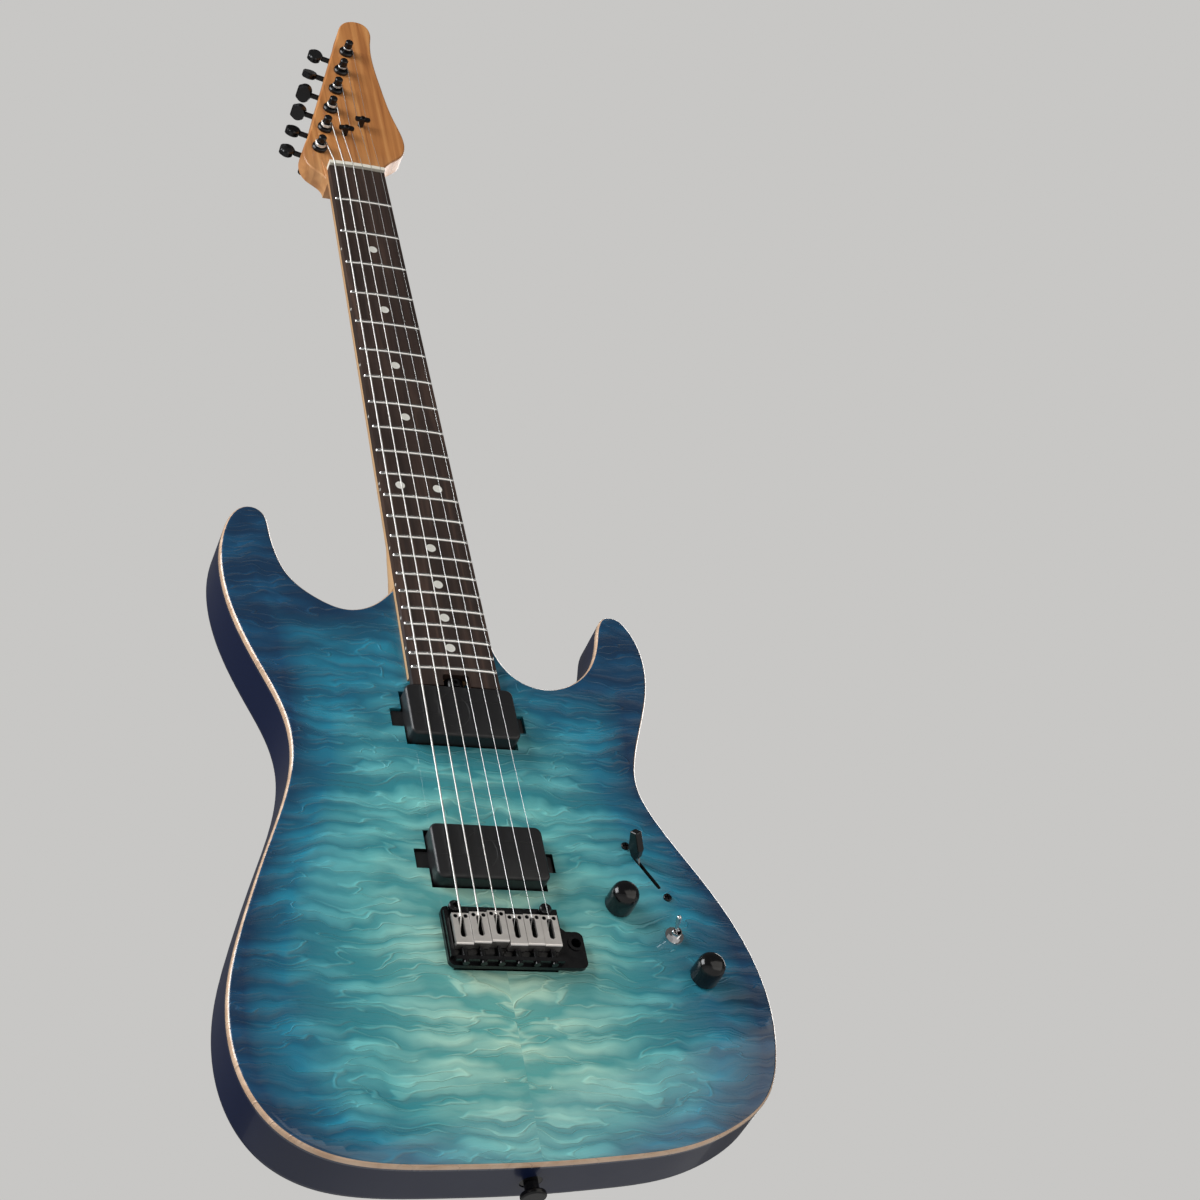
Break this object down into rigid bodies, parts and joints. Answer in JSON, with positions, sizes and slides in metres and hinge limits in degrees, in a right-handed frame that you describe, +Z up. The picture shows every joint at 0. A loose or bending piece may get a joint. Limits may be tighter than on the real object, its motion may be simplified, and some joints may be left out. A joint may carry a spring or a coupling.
{
  "type": "electric guitar",
  "caption": "Solid-body electric guitar with a bolt-on neck, a stained figured top, humbucking pickups and a floating tremolo bridge.",
  "frame": {"origin": "seat of the end strap pin, on the centreline at the middle of the body's depth", "axes": "+Z up the neck towards the headstock, +X to the treble side, +Y to the body's back, so the strings face -Y"},
  "size_m": [0.3313, 0.0719, 0.9982],
  "materials": {
    "top_finish": "quilted maple stained teal under a high gloss lacquer, darker at the edges, natural edge band",
    "back_finish": "dark navy gloss lacquer",
    "neck_maple": "satin oiled roasted maple",
    "rosewood": "open-grained dark rosewood, oiled",
    "fret_wire": "polished",
    "pearl": "off-white pearl",
    "nut_white": "off-white, polished",
    "steel": "plain steel",
    "saddle_steel": "satin stainless steel",
    "black_metal": "black plated, semi-gloss",
    "pickup_black": "black, satin",
    "cover_plastic": "black, fine texture",
    "knob_black": "high gloss black",
    "chrome": "polished",
    "battery_case": "plain, no print",
    "string_wire": "nickel-wound and plain steel"
  },
  "bodies": {
    "guitar": {"body_back": "back_finish", "body_top": "top_finish", "neck": "neck_maple", "fingerboard": "rosewood", "frets": "fret_wire", "inlay_dots": "pearl", "nut": "nut_white", "truss_rod": "steel", "tuner_housings": "black_metal", "tuner_bushings": "black_metal", "string_trees": "black_metal", "trim_screws": "black_metal", "neck_pickup_cover": "pickup_black", "neck_pickup_base": "pickup_black", "bridge_pickup_cover": "pickup_black", "bridge_pickup_base": "pickup_black", "pickup_screws": "black_metal", "tremolo_studs": "black_metal", "stud_anchors": "steel", "tremolo_springs": "steel", "spring_claw": "steel", "claw_screws": "steel", "spring_cover": "cover_plastic", "control_cover": "cover_plastic", "cover_screws": "black_metal", "control_pots": "steel", "blade_switch": "steel", "mini_toggle": "chrome", "jack_ring": "black_metal", "output_jack": "black_metal", "battery": "battery_case", "strap_pins": "black_metal", "neck_ferrules": "black_metal", "neck_screws": "black_metal", "strings": "string_wire"},
    "tremolo": {"tremolo_plate": "black_metal", "saddles": "saddle_steel", "saddle_height_screws": "black_metal", "intonation_screws": "black_metal", "sustain_block": "steel", "arm_socket": "black_metal"},
    "volume": {"volume_knob": "knob_black"},
    "tone": {"tone_knob": "knob_black"},
    "selector": {"switch_lever": "steel", "switch_tip": "knob_black"},
    "toggle": {"toggle_lever": "chrome"},
    "rod_wheel": {"truss_rod_wheel": "black_metal"},
    "button_1": {"tuner_button_1": "black_metal"},
    "post_1": {"tuner_post_1": "black_metal"},
    "button_2": {"tuner_button_2": "black_metal"},
    "post_2": {"tuner_post_2": "black_metal"},
    "button_3": {"tuner_button_3": "black_metal"},
    "post_3": {"tuner_post_3": "black_metal"},
    "button_4": {"tuner_button_4": "black_metal"},
    "post_4": {"tuner_post_4": "black_metal"},
    "button_5": {"tuner_button_5": "black_metal"},
    "post_5": {"tuner_post_5": "black_metal"},
    "button_6": {"tuner_button_6": "black_metal"},
    "post_6": {"tuner_post_6": "black_metal"}
  },
  "joints": [
    {"name": "button_1_turn", "type": "hinge", "parent": "guitar", "child": "button_1", "pos_m": [-0.03479, -0.002, 0.83927], "axis": [-0.9568, 0, 0.2907], "continuous": true},
    {"name": "post_1_turn", "type": "hinge", "parent": "guitar", "child": "post_1", "pos_m": [-0.02258, -0.0215, 0.82615], "axis": [0, -1, 0], "continuous": true},
    {"name": "button_2_turn", "type": "hinge", "parent": "guitar", "child": "button_2", "pos_m": [-0.02753, -0.002, 0.86319], "axis": [-0.9568, 0, 0.2907], "continuous": true},
    {"name": "post_2_turn", "type": "hinge", "parent": "guitar", "child": "post_2", "pos_m": [-0.01531, -0.0215, 0.85007], "axis": [0, -1, 0], "continuous": true},
    {"name": "button_3_turn", "type": "hinge", "parent": "guitar", "child": "button_3", "pos_m": [-0.02026, -0.002, 0.88711], "axis": [-0.9568, 0, 0.2907], "continuous": true},
    {"name": "post_3_turn", "type": "hinge", "parent": "guitar", "child": "post_3", "pos_m": [-0.00805, -0.0215, 0.87399], "axis": [0, -1, 0], "continuous": true},
    {"name": "button_4_turn", "type": "hinge", "parent": "guitar", "child": "button_4", "pos_m": [-0.01299, -0.002, 0.91103], "axis": [-0.9568, 0, 0.2907], "continuous": true},
    {"name": "post_4_turn", "type": "hinge", "parent": "guitar", "child": "post_4", "pos_m": [-0.00078, -0.0215, 0.89791], "axis": [0, -1, 0], "continuous": true},
    {"name": "button_5_turn", "type": "hinge", "parent": "guitar", "child": "button_5", "pos_m": [-0.00573, -0.002, 0.93495], "axis": [-0.9568, 0, 0.2907], "continuous": true},
    {"name": "post_5_turn", "type": "hinge", "parent": "guitar", "child": "post_5", "pos_m": [0.00649, -0.0215, 0.92183], "axis": [0, -1, 0], "continuous": true},
    {"name": "button_6_turn", "type": "hinge", "parent": "guitar", "child": "button_6", "pos_m": [0.00154, -0.002, 0.95887], "axis": [-0.9568, 0, 0.2907], "continuous": true},
    {"name": "post_6_turn", "type": "hinge", "parent": "guitar", "child": "post_6", "pos_m": [0.01376, -0.0215, 0.94575], "axis": [0, -1, 0], "continuous": true},
    {"name": "tremolo_pivot", "type": "hinge", "parent": "guitar", "child": "tremolo", "pos_m": [0, -0.0256, 0.1575], "axis": [-1, 0, 0], "range_deg": [-2.5, 15], "stiffness_Nm_per_rad": 12, "deforming": ["strings", "tremolo_springs"]},
    {"name": "volume_turn", "type": "hinge", "parent": "guitar", "child": "volume", "pos_m": [0.079, -0.0215, 0.167], "axis": [0, -1, 0], "range_deg": [-150, 150]},
    {"name": "tone_turn", "type": "hinge", "parent": "guitar", "child": "tone", "pos_m": [0.1237, -0.0215, 0.119], "axis": [0, -1, 0], "range_deg": [-150, 150]},
    {"name": "selector_swing", "type": "hinge", "parent": "guitar", "child": "selector", "pos_m": [0.1027, -0.0055, 0.1919], "axis": [0.8755, 0, 0.4833], "range_deg": [0, 62]},
    {"name": "toggle_throw", "type": "hinge", "parent": "guitar", "child": "toggle", "pos_m": [0.1109, -0.0225, 0.1468], "axis": [0.7071, 0, 0.7071], "range_deg": [0, 26]},
    {"name": "rod_wheel_turn", "type": "hinge", "parent": "guitar", "child": "rod_wheel", "pos_m": [0, -0.0213, 0.3229], "axis": [0, 0, 1], "range_deg": [-180, 180]}
  ],
  "couplings": [
    {"joint": "post_1_turn", "follows": "button_1_turn", "ratio": 0.055556},
    {"joint": "post_2_turn", "follows": "button_2_turn", "ratio": 0.055556},
    {"joint": "post_3_turn", "follows": "button_3_turn", "ratio": 0.055556},
    {"joint": "post_4_turn", "follows": "button_4_turn", "ratio": 0.055556},
    {"joint": "post_5_turn", "follows": "button_5_turn", "ratio": 0.055556},
    {"joint": "post_6_turn", "follows": "button_6_turn", "ratio": 0.055556}
  ]
}
